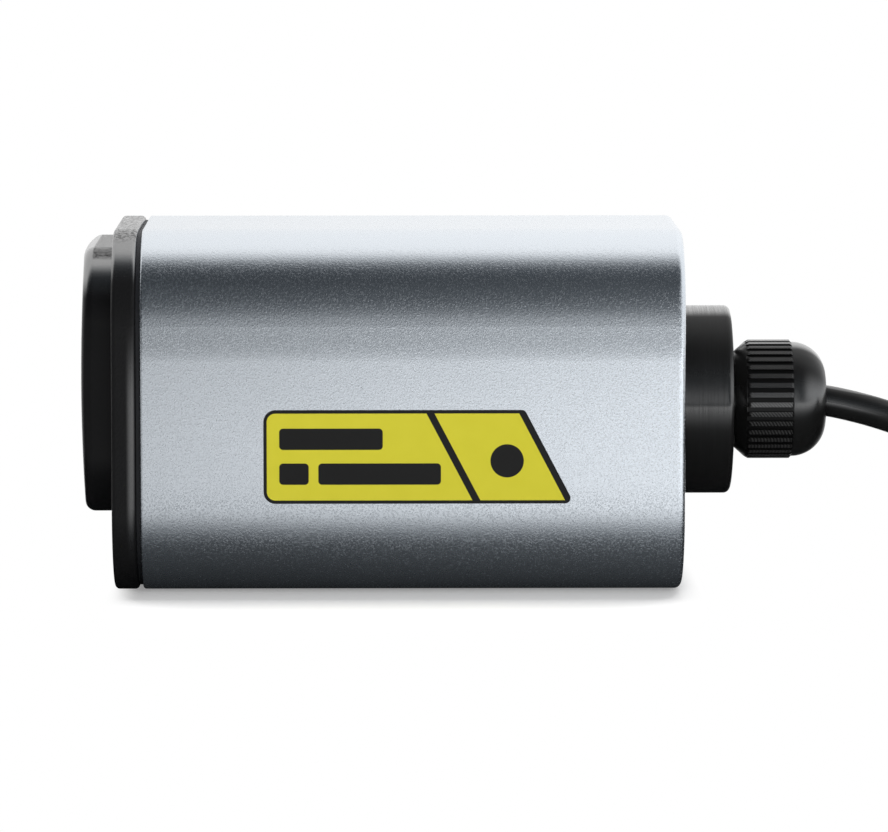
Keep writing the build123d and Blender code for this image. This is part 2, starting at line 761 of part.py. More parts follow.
def side_label():
    """The yellow film on the near side: square left end with round corners, slanted right end."""
    left = housing_front + label_from_front
    right = left + label_length
    top = axis_height + label_top_above_axis
    low = top - label_height
    outline = make_face(Polyline((left, low), (right, low), (right - label_slant, top), (left, top),
                                 close=True))
    ends = outline.vertices().sort_by(Axis.X)
    outline = fillet(ends[:2], label_corner)
    outline = fillet(outline.vertices().sort_by(Axis.X)[-2:], label_tip_round)
    near_side = Plane(origin=(0, -body_side / 2, 0), x_dir=(1, 0, 0), z_dir=(0, -1, 0))
    return extrude(near_side * outline, label_film)


def route_radii(route):
    """An arc for each inner point: 0.45 of its shorter run over the tangent of half its turn."""
    radii = []
    for before, here, after in zip(route, route[1:], route[2:]):
        first, second = Vector(*here) - Vector(*before), Vector(*after) - Vector(*here)
        turn = first.get_angle(second)
        radii.append(0.45 * min(first.length, second.length) / tan(radians(turn) / 2))
    return radii


def tube(route, radius, name):
    """A round tube along straight runs joined by tangent arcs, with its volume compared."""
    radii = route_radii(route)
    path = FilletPolyline(*route, radius=radii)
    made = sweep(Plane(origin=path @ 0, z_dir=path % 0) * Circle(radius), path)
    share = made.volume / (pi * radius ** 2 * path.length)
    print(f"{name}: arcs {[round(r, 1) for r in radii]} mm, length {path.length:.1f} mm, share {share:.3f}")
    return made


def coil_tie():
    """The strap that holds the turns: a closed band round the bundle, with its locking head outside."""
    inner, outer, top = coil_inner - 2 * tie_gap, coil_outer + tie_gap, coil_height + tie_gap
    bundle = make_face(Polyline((inner, tie_thickness), (outer, tie_thickness), (outer, coil_low_height),
                                (coil_top_outer, top), (coil_top_inner, top), (inner, coil_low_height),
                                close=True))
    band = extrude(Plane.XZ * (offset(bundle, tie_thickness) - bundle), tie_width / 2, both=True)
    head_x = outer + tie_thickness + tie_head[0] / 2
    head = Pos(head_x, 0, coil_low_height / 2) * Box(*tie_head)
    return Pos(*coil_centre, 0) * (Rot(0, 0, tie_angle) * (band + head))


def cable_coil():
    """The coil's outer shape: full rows of turns, a narrower row on top, and the dip at its tie."""
    profile = [(coil_inner, 0), (coil_outer, 0), (coil_outer, coil_low_height),
               (coil_top_outer, coil_low_height), (coil_top_outer, coil_height),
               (coil_top_inner, coil_height), (coil_top_inner, coil_low_height),
               (coil_inner, coil_low_height)]
    face = make_face(Polyline(*[(r, 0, z) for r, z in profile], close=True))
    slot_height = tie_thickness + tie_gap
    slot = Box(coil_outer, tie_width + 2 * tie_gap, slot_height)
    slot = Pos((coil_inner + coil_outer) / 2, 0, slot_height / 2) * slot
    return Pos(*coil_centre, 0) * (revolve(face, Axis.Z, 360) - Rot(0, 0, tie_angle) * slot)


def on_coil(radius, degrees, z):
    """A point by the coil, from its distance and direction from the coil's centre."""
    a = radians(degrees)
    return (coil_centre[0] + radius * cos(a), coil_centre[1] + radius * sin(a), z)


def lead_route():
    """The lead's points: out of the gland along its axis, then down and aside onto the top row."""
    join_height = coil_low_height + cable_radius + lead_clearance
    join = Vector(*on_coil(coil_top_outer - cable_radius, lead_join_angle, join_height))
    free = [(nut_end + way * (join.X - nut_end), aside * join.Y, axis_height - drop * (axis_height - join.Z))
            for way, aside, drop in lead_points]
    return [(cable_grip_end, 0.0, axis_height)] + free


def cable_lead(coil):
    """The free cable from the gland's seal down to the top of the coil, where it joins the turns."""
    return tube(lead_route(), cable_radius, "cable_lead") - coil


tail_route = [on_coil(coil_outer + off, angle, cable_radius) for angle, off in tail_turns]


def cable_tail_end(coil):
    """The last stretch of cable, lying on the floor round the outside of the coil."""
    return tube(tail_route, cable_radius, "cable_tail_end") - coil


def tail_core_route(place, n):
    """One stripped core's route: straight out of the jacket, then fanned out and down onto the floor."""
    end = Vector(*tail_route[-1])
    ahead = (end - Vector(*tail_route[-2])).normalized()
    left = Vector(-ahead.Y, ahead.X, 0)
    across = place - (core_count - 1) / 2
    start = end + left * (core_circle * cos(core_angle(n))) + Vector(0, 0, core_circle * sin(core_angle(n)))
    rest = Vector(end.X, end.Y, core_radius + ferrule_wall) + left * (across * tail_core_pitch)
    fan = left * (across * tail_core_fan)
    points = [start, start + ahead * tail_core_straight, rest + ahead * tail_core_middle,
              rest + ahead * tail_core_length + fan]
    return [tuple(p) for p in points]


def tail_cores():
    """The stripped cores at the cable's far end, fanned out on the floor."""
    made = []
    for place, n in enumerate(core_order()):
        route = tail_core_route(place, n)
        made.append(core_tube(route, route_radii(route)))
    return spread(made)


def tail_ferrules():
    """A crimped ferrule on the end of each core: a wide collar and a narrow barrel."""
    made = []
    for place, n in enumerate(core_order()):
        route = tail_core_route(place, n)
        end, before = Vector(*route[-1]), Vector(*route[-2])
        ahead = (end - before).normalized()
        across = Plane(origin=end, z_dir=ahead)
        collar = extrude(across * Circle(core_radius + ferrule_wall), ferrule_collar)
        made.append(collar + extrude(across * Circle(core_radius), ferrule_collar + ferrule_barrel))
    return spread(made)


def write(name, shape):
    """Saves one piece under its own name."""
    export_step(shape, f"parts/{name}.step")


os.makedirs("parts", exist_ok=True)

write("housing", housing())
write("front_gasket", front_gasket())
write("front_frame", front_frame())
write("window_bezel", window_bezel())
write("window_seal", window_seal())
write("front_window", front_window())
write("front_screws", front_screws())
write("optics_block", optics_block())
write("optics_screws", optics_screws())
write("receiver_lens", lens(receiver_radius, receiver_y))
write("emitter_lens", lens(emitter_radius, emitter_y))
write("receiver_lens_ring", lens_ring(receiver_radius, receiver_y))
write("emitter_lens_ring", lens_ring(emitter_radius, emitter_y))
write("photodiode", diode_can(receiver_y, photodiode_radius, photodiode_height,
                                photodiode_glass_share))
write("laser_diode", diode_can(emitter_y, laser_radius, laser_height, laser_glass_share))
for index, board in enumerate(("transceiver_board", "processor_board", "power_board")):
    write(board, circuit_board(index))
write("shield_can", shield_can())
write("board_chips", board_chips())
write("power_parts", power_parts())
write("stack_connectors", stack_connectors())
write("board_spacers", board_spacers())
write("stack_screws", stack_screws())
write("lead_header", lead_header())
write("lead_plug", lead_plug())
write("inner_cores", inner_cores())
write("cable_entry", cable_entry())
write("rear_collar", rear_collar())
write("collar_o_ring", collar_o_ring())
write("collar_ring_nut", collar_ring_nut())
write("gland_body", gland_body())
write("gland_seal", gland_seal())
write("gland_nut", gland_nut())
write("side_label", side_label())
coil_solid = cable_coil()
write("cable_coil", coil_solid)
write("cable_lead", cable_lead(coil_solid))
write("cable_tail_end", cable_tail_end(coil_solid))
write("tail_cores", tail_cores())
write("tail_ferrules", tail_ferrules())
write("coil_tie", coil_tie())
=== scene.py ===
# %% [markdown]
# # A small laser ranging sensor, dressed for its picture
# The sensor is a square aluminium body about as long as a finger, with a black frame and bezel at
# its window end, and a turned collar, a cable gland and a lead at the other. Its solids come from
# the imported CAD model. This lesson gives them their finishes, lays the lead, and sets up the studio.

import bpy
import json
import numpy as np
from math import atan2, cos, pi, radians, sin
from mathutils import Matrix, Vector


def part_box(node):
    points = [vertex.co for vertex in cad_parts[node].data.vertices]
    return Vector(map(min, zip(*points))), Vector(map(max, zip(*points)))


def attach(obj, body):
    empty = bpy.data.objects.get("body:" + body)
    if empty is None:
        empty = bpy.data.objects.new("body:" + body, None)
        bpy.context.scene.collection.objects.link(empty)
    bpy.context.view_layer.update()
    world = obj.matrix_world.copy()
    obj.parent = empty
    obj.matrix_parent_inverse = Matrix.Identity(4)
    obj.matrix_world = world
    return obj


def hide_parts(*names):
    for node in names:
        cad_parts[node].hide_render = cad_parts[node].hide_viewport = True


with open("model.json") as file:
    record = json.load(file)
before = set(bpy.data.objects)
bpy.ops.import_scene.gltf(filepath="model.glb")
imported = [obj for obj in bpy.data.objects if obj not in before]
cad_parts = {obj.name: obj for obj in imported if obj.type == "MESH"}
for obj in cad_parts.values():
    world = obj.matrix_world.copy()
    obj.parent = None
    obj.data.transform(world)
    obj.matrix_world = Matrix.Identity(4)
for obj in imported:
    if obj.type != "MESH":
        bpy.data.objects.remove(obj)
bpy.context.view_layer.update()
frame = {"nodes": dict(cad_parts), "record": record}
nodes = frame["nodes"]
MM = 0.001
axis_height = 23 * MM  # the middle of the body, the collar, the gland and the lead's start

# %% [markdown]
# ## The camera
# The picture was taken from the labelled side with a long lens, a little above the sensor, so the
# top of the body shows as a thin bright band. A short lens near by could frame it as well, but a
# long one far away keeps the body's lines nearly parallel, as they are in the picture.

# %% Place the camera
camera_place = (-9.98 * MM, -723 * MM, 97.7 * MM)
camera_pitch = radians(6.07)
camera_yaw = radians(0.684)
camera_data = bpy.data.cameras.new("camera")
camera_data.lens = 227.6
camera_data.sensor_width = 36.0
camera_data.clip_start = 0.02
camera = bpy.data.objects.new("camera", camera_data)
camera.location = camera_place
camera.rotation_euler = (pi / 2 - camera_pitch, 0, -camera_yaw)
bpy.context.scene.collection.objects.link(camera)
bpy.context.scene.camera = camera
bpy.context.scene.view_settings.view_transform = "Standard"
print("the camera stands", round(-camera_place[1] / MM), "mm in front of the sensor")

# %% [markdown]
# ## Writing finishes as sums
# A finish is a small tree of nodes. It could be drawn by hand, but a drawn tree is hard to read and
# to change, so it is written as sums here. `Amount` wraps a number that varies over a surface, and
# each sum or comparison with it adds a Math node.

# %% Amounts that vary over a surface
class Amount:
    """A number that varies over a surface. Sums and comparisons with it add Math nodes."""

    def __init__(self, recipe, socket):
        self.recipe, self.socket = recipe, socket

    def __add__(self, other):
        return self.recipe.math("ADD", self, other)

    def __sub__(self, other):
        return self.recipe.math("SUBTRACT", self, other)

    def __rsub__(self, other):
        return self.recipe.math("SUBTRACT", other, self)

    def __mul__(self, other):
        return self.recipe.math("MULTIPLY", self, other)

    def __truediv__(self, other):
        return self.recipe.math("DIVIDE", self, other)

    def __pow__(self, other):
        return self.recipe.math("POWER", self, other)

    def __abs__(self):
        return self.recipe.math("ABSOLUTE", self)

    __radd__ = __add__
    __rmul__ = __mul__

    def least(self, other):
        return self.recipe.math("MINIMUM", self, other)

    def most(self, other):
        return self.recipe.math("MAXIMUM", self, other)

    def step(self, low, high, start=0.0, end=1.0):
        """Runs smoothly from start to end as the amount goes from low to high."""
        made = self.recipe.node("ShaderNodeMapRange", {"interpolation_type": "SMOOTHSTEP"},
                                {"Value": self, "From Min": low, "From Max": high,
                                 "To Min": start, "To Max": end})
        return Amount(self.recipe, made.outputs[0])


# %% [markdown]
# Any other node comes from a `Recipe`, which holds the tree of one finish or of the world. It takes
# the node's type, then its settings, then a value or a link for each named input. Noise, colour
# mixes and bumps come up often, so each has a short name of its own.

# %% The recipe of a finish
class Recipe:
    """The node tree of one finish or of the world."""

    def __init__(self, tree):
        self.tree = tree
        tree.nodes.clear()

    def node(self, kind, settings=None, values=None):
        """Adds a node: its settings first, then a value or a link for each named input."""
        made = self.tree.nodes.new(kind)
        for name, value in (settings or {}).items():
            if name == "stops":
                ramp = made.color_ramp
                while len(ramp.elements) < len(value):
                    ramp.elements.new(1.0)
                for stop, (place, colour) in zip(ramp.elements, value):
                    stop.position = place
                    stop.color = (*colour, 1.0)
            else:
                setattr(made, name, value)
        for name, value in (values or {}).items():
            found = [s for s in made.inputs if s.identifier == name] or [made.inputs[name]]
            value = value.socket if isinstance(value, Amount) else value
            if isinstance(value, bpy.types.NodeSocket):
                self.tree.links.new(value, found[0])
            else:
                found[0].default_value = value
        return made

    def math(self, operation, *values):
        """A Math node that works on amounts and plain numbers."""
        made = self.node("ShaderNodeMath", {"operation": operation}, dict(enumerate(values)))
        return Amount(self, made.outputs[0])

    def place(self):
        """The three object coordinates, in metres, as amounts."""
        split = self.node("ShaderNodeSeparateXYZ", None, {"Vector": self.coordinates()})
        return [Amount(self, s) for s in split.outputs]

    def coordinates(self):
        """The object coordinates, which every pattern here reads."""
        return self.node("ShaderNodeTexCoord").outputs["Object"]

    def grain(self, size, detail=2.0, roughness=0.5, stretch=(1, 1, 1)):
        """Noise between 0 and 1 whose lumps are about the given size in metres, drawn out along
        each axis by its stretch."""
        spread = self.node("ShaderNodeMapping", None,
                           {"Vector": self.coordinates(), "Scale": [1 / s for s in stretch]})
        made = self.node("ShaderNodeTexNoise", None,
                         {"Vector": spread.outputs[0], "Scale": 1 / size, "Detail": detail,
                          "Roughness": roughness})
        return Amount(self, made.outputs["Fac"])

    def mix(self, factor, low, high):
        """Mixes two colours by a factor."""
        made = self.node("ShaderNodeMix", {"data_type": "RGBA"},
                         {"Factor_Float": factor, "A_Color": rgba(low), "B_Color": rgba(high)})
        return next(s for s in made.outputs if s.identifier == "Result_Color")

    def bump(self, height, distance, strength=1.0, under=None):
        """A bump from a height between 0 and 1 that stands for the given distance in metres."""
        values = {"Height": height, "Distance": distance, "Strength": strength}
        if under:
            values["Normal"] = under
        return self.node("ShaderNodeBump", None, values).outputs["Normal"]

    def surface(self, **values):
        """Adds the finish's shader from its named values, and its output."""
        shader = self.node("ShaderNodeBsdfPrincipled", None,
                           {name.replace("_", " "): rgba(v) if name.endswith("Color") else v
                            for name, v in values.items()})
        self.node("ShaderNodeOutputMaterial", None, {"Surface": shader.outputs[0]})


def rgba(colour):
    """A colour with its fourth number, or a link left as it is."""
    return (*colour, 1.0) if isinstance(colour, (tuple, list)) else colour


def finish(name):
    """A new material with an empty recipe."""
    material = bpy.data.materials.new(name)
    material.use_nodes = True
    return material, Recipe(material.node_tree)


# %% [markdown]
# ## The studio
# Satin metal shows the room rather than its own colour, so the room is drawn with care. What
# reflections see of it is one ramp from front to back: dim grey low in front, then a dark room,
# then white from overhead to the back. The camera sees plain white, and everything else is lit by
# a plain grey. A picture of a real studio would do the same, but a ramp is easier to steer.

# %% Paint the room
# Each stop is a place, 0 straight in front, 0.5 overhead and 1 straight behind, and a colour
front_to_back = [
    (0.000, (0.460, 0.470, 0.480)), (0.009, (0.340, 0.350, 0.360)), (0.024, (0.180, 0.190, 0.200)),
    (0.060, (0.085, 0.093, 0.101)), (0.200, (0.048, 0.054, 0.060)), (0.330, (0.055, 0.062, 0.070)),
    (0.413, (0.16, 0.17, 0.18)), (0.500, (0.62, 0.63, 0.64)), (0.575, (1.0, 1.0, 1.0)),
    (1.000, (1.0, 1.0, 1.0))]
fill_level = 0.30
wall_colour = (0.9, 0.92, 0.94)
world = bpy.data.worlds.new("studio")
world.use_nodes = True
bpy.context.scene.world = world
room = Recipe(world.node_tree)
direction = room.node("ShaderNodeTexCoord").outputs["Generated"]
split = room.node("ShaderNodeSeparateXYZ", None, {"Vector": direction}).outputs
along, back = Amount(room, split["X"]), Amount(room, split["Y"])
ramp = room.node("ShaderNodeValToRGB", {"stops": front_to_back}, {"Fac": back * 0.5 + 0.5})
# The front is brighter to the right than to the left, and the right end of the room is a pale wall
slant = along.step(-0.12, 0.12, -0.4, 0.4) * back.step(-0.5, 0.3, 1.0, 0.15)
slanted = room.node("ShaderNodeVectorMath", {"operation": "SCALE"},
                    {"Vector": ramp.outputs[0], "Scale": 1.0 + slant})
mirrored = room.mix(along.step(0.45, 0.90), slanted.outputs[0], wall_colour)
rays = room.node("ShaderNodeLightPath").outputs
seen = Amount(room, rays["Is Camera Ray"]).most(Amount(room, rays["Is Transmission Ray"]))
lit = room.mix(Amount(room, rays["Is Glossy Ray"]), (fill_level,) * 3, mirrored)
shown = room.mix(seen, lit, (1.0, 1.0, 1.0))
back_light = room.node("ShaderNodeBackground", None, {"Color": shown, "Strength": 1.0})
room.node("ShaderNodeOutputWorld", None, {"Surface": back_light.outputs[0]})
print("the room's ramp has", len(front_to_back), "stops")

# %% [markdown]
# Two soft lamps cast the shadow: the stronger one hangs overhead and a little behind, so the shadow
# in front is short, and a weak one in front fills it. The ramp already gives the metal its glints,
# so reflections don't show the lamps.

# %% Hang the lamps
def softbox(name, place, aim, size, power):
    """A rectangular lamp at a place, turned to face a point. Places and sizes are in metres. Its
    slope is the angle whose tangent is the level distance to the point over the drop to it."""
    data = bpy.data.lights.new(name, "AREA")
    data.shape = "RECTANGLE"
    data.size, data.size_y = size
    data.energy = power
    lamp = bpy.data.objects.new(name, data)
    lamp.location = place
    way = np.array(aim) - np.array(place)
    lamp.rotation_euler = (atan2(np.hypot(way[0], way[1]), -way[2]), 0, atan2(-way[0], way[1]))
    lamp.visible_camera = False
    lamp.visible_glossy = False
    bpy.context.scene.collection.objects.link(lamp)
    print(name, "gives", power, "W")


softbox("overhead_key", (0.0, 0.13, 0.75), (0.0, 0.02, 0.0), (0.7, 0.36), 6.0)
softbox("front_fill", (0.10, -0.70, 0.35), (0.0, 0.0, 0.02), (0.5, 0.4), 1.6)

# %% [markdown]
# The floor is a white sheet. It keeps the soft shadow under the sensor, and away from the sensor it
# turns to plain white for the camera, like a sweep of paper that runs up behind.

# %% Lay the floor
floor_half = 3.0
corners = [(-floor_half, -floor_half, 0), (floor_half, -floor_half, 0),
           (floor_half, floor_half, 0), (-floor_half, floor_half, 0)]
floor_mesh = bpy.data.meshes.new("floor")
floor_mesh.from_pydata(corners, [], [(0, 1, 2, 3)])
floor = bpy.data.objects.new("floor", floor_mesh)
bpy.context.scene.collection.objects.link(floor)
paper, recipe = finish("white_floor")
x, y, z = recipe.place()
rays = recipe.node("ShaderNodeLightPath").outputs
print("the floor is", 2 * floor_half, "m wide")

# %% [markdown]
# The body's flat side leans neither up nor down, so the camera, which looks a little down, sees the
# floor mirrored in it. For reflections alone the floor glows with a painted reflection: a painted
# shadow where it touches the sensor, a painted bright band about a quarter of a metre in front, dim
# beyond, and brighter to the right.

# %% Paint the floor's reflection, with its shadow and bright band painted in
painted_reflection_reach = 0.45
# Each stop is a share of the painted reflection's reach in front of the sensor's middle, and a colour
painted_reflection_stops = [
    (0.030, (0.012, 0.013, 0.014)), (0.062, (0.07, 0.075, 0.08)), (0.075, (0.18, 0.19, 0.20)),
    (0.100, (0.44, 0.45, 0.46)), (0.156, (0.70, 0.71, 0.72)), (0.260, (0.84, 0.85, 0.86)),
    (0.400, (0.88, 0.89, 0.90)), (0.560, (1.18, 1.19, 1.20)), (0.680, (1.16, 1.17, 1.18)),
    (0.820, (0.72, 0.73, 0.74)), (1.000, (0.08, 0.09, 0.10))]
painted_reflection_ramp = recipe.node("ShaderNodeValToRGB", {"stops": painted_reflection_stops}, {"Fac": y * (-1 / painted_reflection_reach)})
painted_reflection_slant = recipe.node("ShaderNodeVectorMath", {"operation": "SCALE"},
                         {"Vector": painted_reflection_ramp.outputs[0], "Scale": x.step(-0.14, 0.14, 0.58, 1.58)})
behind = y.step(24 * MM, 60 * MM)
painted_reflection_colour = recipe.mix(behind, painted_reflection_slant.outputs[0], (0.9, 0.9, 0.9))
# Painted reflection: for glossy rays the floor glows with this ramp instead of its lit colour and real
# shadow
painted_floor_reflection = recipe.node("ShaderNodeEmission", None, {"Color": painted_reflection_colour})
print("the card's ramp has", len(painted_reflection_stops), "stops over", painted_reflection_reach, "m")

# %% [markdown]
# For the camera the sheet is matt paper with a faint glow of its own, which lifts it to white, and
# it fades to plain white a little way from the sensor's foot, where the shadow ends.

# %% Fade the sheet into white
floor_glow = 0.27
white = recipe.node("ShaderNodeBsdfDiffuse", None, {"Color": (0.86, 0.86, 0.86, 1.0)})
glow = recipe.node("ShaderNodeEmission", None, {"Color": (1, 1, 1, 1), "Strength": floor_glow})
both = recipe.node("ShaderNodeAddShader")
recipe.tree.links.new(white.outputs[0], both.inputs[0])
recipe.tree.links.new(glow.outputs[0], both.inputs[1])
# The foot is a rectangle on the floor, and the shadow's reach is counted from its edges
foot_middle, foot_half_length, foot_half_width = -6.5 * MM, 32.5 * MM, 21 * MM
reach_aside, reach_outward = 5.5 * MM, 31 * MM
aside = (abs(x - foot_middle) - foot_half_length).most(0.0) / reach_aside
outward = (abs(y) - foot_half_width).most(0.0) / reach_outward
far = (aside ** 2.0 + outward ** 2.0) ** 0.5
plain = recipe.node("ShaderNodeEmission", None, {"Color": (1, 1, 1, 1), "Strength": 1.0})
sweep = recipe.node("ShaderNodeMixShader", None, {"Fac": far.step(0.18, 0.98)})
recipe.tree.links.new(both.outputs[0], sweep.inputs[1])
recipe.tree.links.new(plain.outputs[0], sweep.inputs[2])
for_camera = recipe.node("ShaderNodeMixShader", None, {"Fac": rays["Is Camera Ray"]})
recipe.tree.links.new(white.outputs[0], for_camera.inputs[1])
recipe.tree.links.new(sweep.outputs[0], for_camera.inputs[2])
for_gloss = recipe.node("ShaderNodeMixShader", None, {"Fac": rays["Is Glossy Ray"]})
recipe.tree.links.new(for_camera.outputs[0], for_gloss.inputs[1])
recipe.tree.links.new(painted_floor_reflection.outputs[0], for_gloss.inputs[2])
recipe.node("ShaderNodeOutputMaterial", None, {"Surface": for_gloss.outputs[0]})
floor.data.materials.append(paper)

# %% [markdown]
# ## The lead
# Nearly two metres of round cable, 4 mm thick. It leaves the gland, sinks in one easy curve, and the
# length that the picture doesn't show is wound in rows of turns and tied. A tube swept in a mesh
# would do, but a cable is one smooth line, so it is one NURBS curve: its control points are the
# fall from the gland, then 16 for each turn, then the tail. They are in millimetres here.

# %% Set out the lead and its turns
lead = [(43.375, 0, 23), (46.187, 0, 23), (49.587, 0, 22.549), (55.581, -0.098, 21.000),
        (61.575, -0.603, 18.752), (67.359, -1.792, 16.203), (72.582, -3.552, 14.548),
        (77.559, -5.703, 14.203), (83.027, -8.148, 14.15)]
coil_middle = (93.075, 13.4)
coil_start, coil_end = 245.0, 4968.0
cable_diameter = 4.0
turn_radii = np.array([15.475, 19.625, 23.775, 27.925])
points_per_turn = 16
# One entry for each turn: its radius and the height of its row
turns = ([(23.775, 3), (19.625, 3)] + [(r, 2) for r in turn_radii]
         + [(r, 1) for r in turn_radii[::-1]] + [(r, 0) for r in turn_radii])
row_heights = np.array([2.0, 6.05, 10.1, 14.15])
tied_heights = np.array([2.85, 6.85, 10.85, 14.8])
# A turn passes to the next around one angle. Each row is lifted where the tie passes under it
shift_at, shift_half = 320.0, 32.0
tie_at, tie_half = 140.0, 26.0
row_bulge = 1.5
print("the coil has", len(turns), "turns in", len(row_heights), "rows")

# %% [markdown]
# The turns aren't rings but one line, so each turn slides into the next one's place in a short
# stretch, and where it climbs from row to row it swings a little clear of the turns beside it.

# %% Work out the coil's line
def smooth(t):
    """Goes from 0 to 1 as t does, with level ends: 3 t squared less 2 t cubed."""
    t = np.clip(t, 0, 1)
    return t * t * (3 - 2 * t)


def coil_points():
    """The coil's line: the angle runs on, and radius and height are those of the turn, joined to
    the next turn's by a smooth step in one window of angle. Over the tie each row is lifted. The
    points stand off the arc by one over the cosine of half a step, as the curve cuts its corners."""
    step = 360 / points_per_turn
    angles = np.arange(coil_start + step, coil_end - step / 2, step)
    late = (angles - (shift_at - shift_half)) / 360
    number = np.floor(late).astype(int)
    share = smooth((late - number) * 360 / (2 * shift_half))
    radii = np.array([r for r, row in turns] + [turns[-1][0]])
    rows = np.array([row for r, row in turns] + [0])
    at = lambda values, n: values[np.clip(n, 0, len(turns) - 1)]
    # The first turn starts at the lead's end, before the first window
    radius = at(radii, number) * (1 - share) + at(radii, number + 1) * share
    bulge = np.sin(pi * share) * (at(rows, number) != at(rows, number + 1))
    outward = np.where(at(radii, number + 1) > turn_radii.mean(), 1.0, -1.0)
    radius = radius + row_bulge * bulge * outward
    near_tie = (1 - smooth(np.abs((angles - tie_at + 180) % 360 - 180) / tie_half))[:, None]
    heights = row_heights[None, :] * (1 - near_tie) + tied_heights[None, :] * near_tie
    pick = lambda n: heights[np.arange(len(angles)), at(rows, n)]
    height = pick(number) * (1 - share) + pick(number + 1) * share
    radius = radius / cos(pi / points_per_turn)
    a = np.radians(angles)
    across, away = coil_middle[0] + radius * np.cos(a), coil_middle[1] + radius * np.sin(a)
    return np.stack([across, away, height], 1)


# The tail lies on the floor outside the coil, each point given by its angle and radius
tail_turn = ((-72, 30.925), (-54, 32.225), (-36, 32.425), (-18, 32.425), (0, 32.525))
tail = [(coil_middle[0] + r * cos(radians(a)), coil_middle[1] + r * sin(radians(a)),
         cable_diameter / 2) for a, r in tail_turn]
route = np.concatenate([np.array(lead), coil_points(), np.array(tail)]) * MM
print("the lead's line has", len(route), "control points")

# %% [markdown]
# A curve gets its thickness from its bevel. The bevel is 1 m and each point's radius is the cable's
# own in metres, which gives a tube of the right size.

# %% Lay the cable
curve = bpy.data.curves.new("cable", "CURVE")
curve.dimensions = "3D"
curve.bevel_depth = 1.0
curve.bevel_resolution = 6
curve.use_fill_caps = True
curve.resolution_u = 6
spline = curve.splines.new("NURBS")
spline.points.add(len(route) - 1)
spline.points.foreach_set("co", np.column_stack([route, np.ones(len(route))]).ravel())
spline.points.foreach_set("radius", np.full(len(route), cable_diameter / 2 * MM))
spline.order_u = 3
spline.use_endpoint_u = True
cable = bpy.data.objects.new("cable", curve)
bpy.context.scene.collection.objects.link(cable)
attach(cable, "root")
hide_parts("cable_lead", "cable_coil", "cable_tail_end")

# %% [markdown]
# ## The body's finish
# The body is bead blasted and clear anodised, which leaves a fine even grain that sparkles, with no
# direction in it. A bump alone makes it look wrinkled, so noise of a quarter of a millimetre is cut
# into specks that are rougher than the rest and stand a hundredth of a millimetre proud. The
# specks count more on the round edges. Below the upper edge the side swells very slightly, which
# softens the line where the flat begins.

# %% Blasted aluminium
materials = {}
material, recipe = finish("blasted_aluminium")
speck = recipe.grain(0.24 * MM, detail=2.0, roughness=0.7).step(0.42, 0.72)
cloud = recipe.grain(9 * MM, detail=2.0)
tint = recipe.mix(speck, (0.78, 0.825, 0.875), (0.83, 0.875, 0.925))
z = recipe.place()[2]
edges = abs(z - axis_height).step(8 * MM, 15 * MM, 0.31, 1.0)
coarse = edges * z.step(37 * MM, 41 * MM, 1.0, 0.5) + z.step(4 * MM, 12 * MM, 0.7, 0.0)
swell = recipe.bump(z.step(30 * MM, 39 * MM, 0.31 * MM, 0.0), 1.0)
recipe.surface(Base_Color=tint, Metallic=1.0,
               Roughness=0.19 + speck * coarse * 0.30 + cloud * 0.03,
               Normal=recipe.bump(speck * coarse, 0.013 * MM, under=swell))
materials["blasted_aluminium"] = material

# %% [markdown]
# ## Moulded plastics
# The frame is moulded against a spark-worn tool, so it is covered in small sharp grains, and the
# bezel is smoother. One function makes all such plastics: a grain that moves the bump and the
# gloss, a faint cloud in the colour, and where a piece gets painted highlights, a hard clear coat
# whose weight paints them.

# %% A moulded plastic
def moulded(name, colour, grain_size, depth, roughness, ior=1.5, highlight_coat=None):
    """A moulded plastic with an even grain: its size and depth in metres, and its gloss. The highlight
    coat is a function that gives, from the recipe, the weight of a hard clear coat that paints
    highlights."""
    made, recipe = finish(name)
    grains = recipe.grain(grain_size, detail=2.0)
    cloud = recipe.grain(6 * MM)
    tint = recipe.mix(cloud, [c * 0.8 for c in colour], [c * 1.2 for c in colour])
    coat = {}
    if highlight_coat:
        # The coat's weight paints highlights where a lamp would shine
        coat = {"Coat_Weight": highlight_coat(recipe), "Coat_IOR": 3.4, "Coat_Roughness": 0.16}
    recipe.surface(Base_Color=tint, Roughness=grains * 0.1 + (roughness - 0.05), IOR=ior,
                   Normal=recipe.bump(grains, depth), **coat)
    materials[name] = made


# %% [markdown]
# A black part gets painted highlights along its upper corners, and a round one along its length.
# A lamp there would shine on the body too, so the coat's weight paints these glints.

# %% Where the black parts get painted highlights
def frame_highlight_paint(recipe):
    """Painted highlights on the frame along its upper corners, broken by dark specks on its top face,
    and a narrow painted highlight band on its rear edge: two steps along x, one up and one down,
    make that band."""
    x, y, z = recipe.place()
    specks = recipe.grain(0.45 * MM, detail=3.0, roughness=0.7).step(0.44, 0.60)
    highlight_gaps = z.step(44.3 * MM, 45.6 * MM) * 0.75 * specks
    rear_edge_highlight = x.step(-41.6 * MM, -40.9 * MM) * x.step(-40.9 * MM, -40.3 * MM, 1.0, 0.0)
    beside = z.step(3 * MM, 9 * MM) * z.step(24 * MM, 36 * MM, 1.0, 0.0)
    # Painted highlight: the coat's weight is raised along the upper corners and in a band on the rear
    # edge
    return z.step(39.5 * MM, 43.0 * MM) * (1.0 - highlight_gaps) + rear_edge_highlight * beside * 0.45


def bezel_highlight_paint(recipe):
    """Painted highlights along the bezel's upper corners, left out on a speckled patch on its top
    face.
    """
    x, y, z = recipe.place()
    specks = recipe.grain(0.40 * MM, detail=3.0, roughness=0.7).step(0.40, 0.62)
    patch = z.step(42.2 * MM, 42.8 * MM) * x.step(-46.1 * MM, -45.8 * MM) * (0.55 + 0.45 * specks)
    # Painted highlight: the coat's weight is raised along the upper corners
    return z.step(37.5 * MM, 40.5 * MM) * (1.0 - patch)


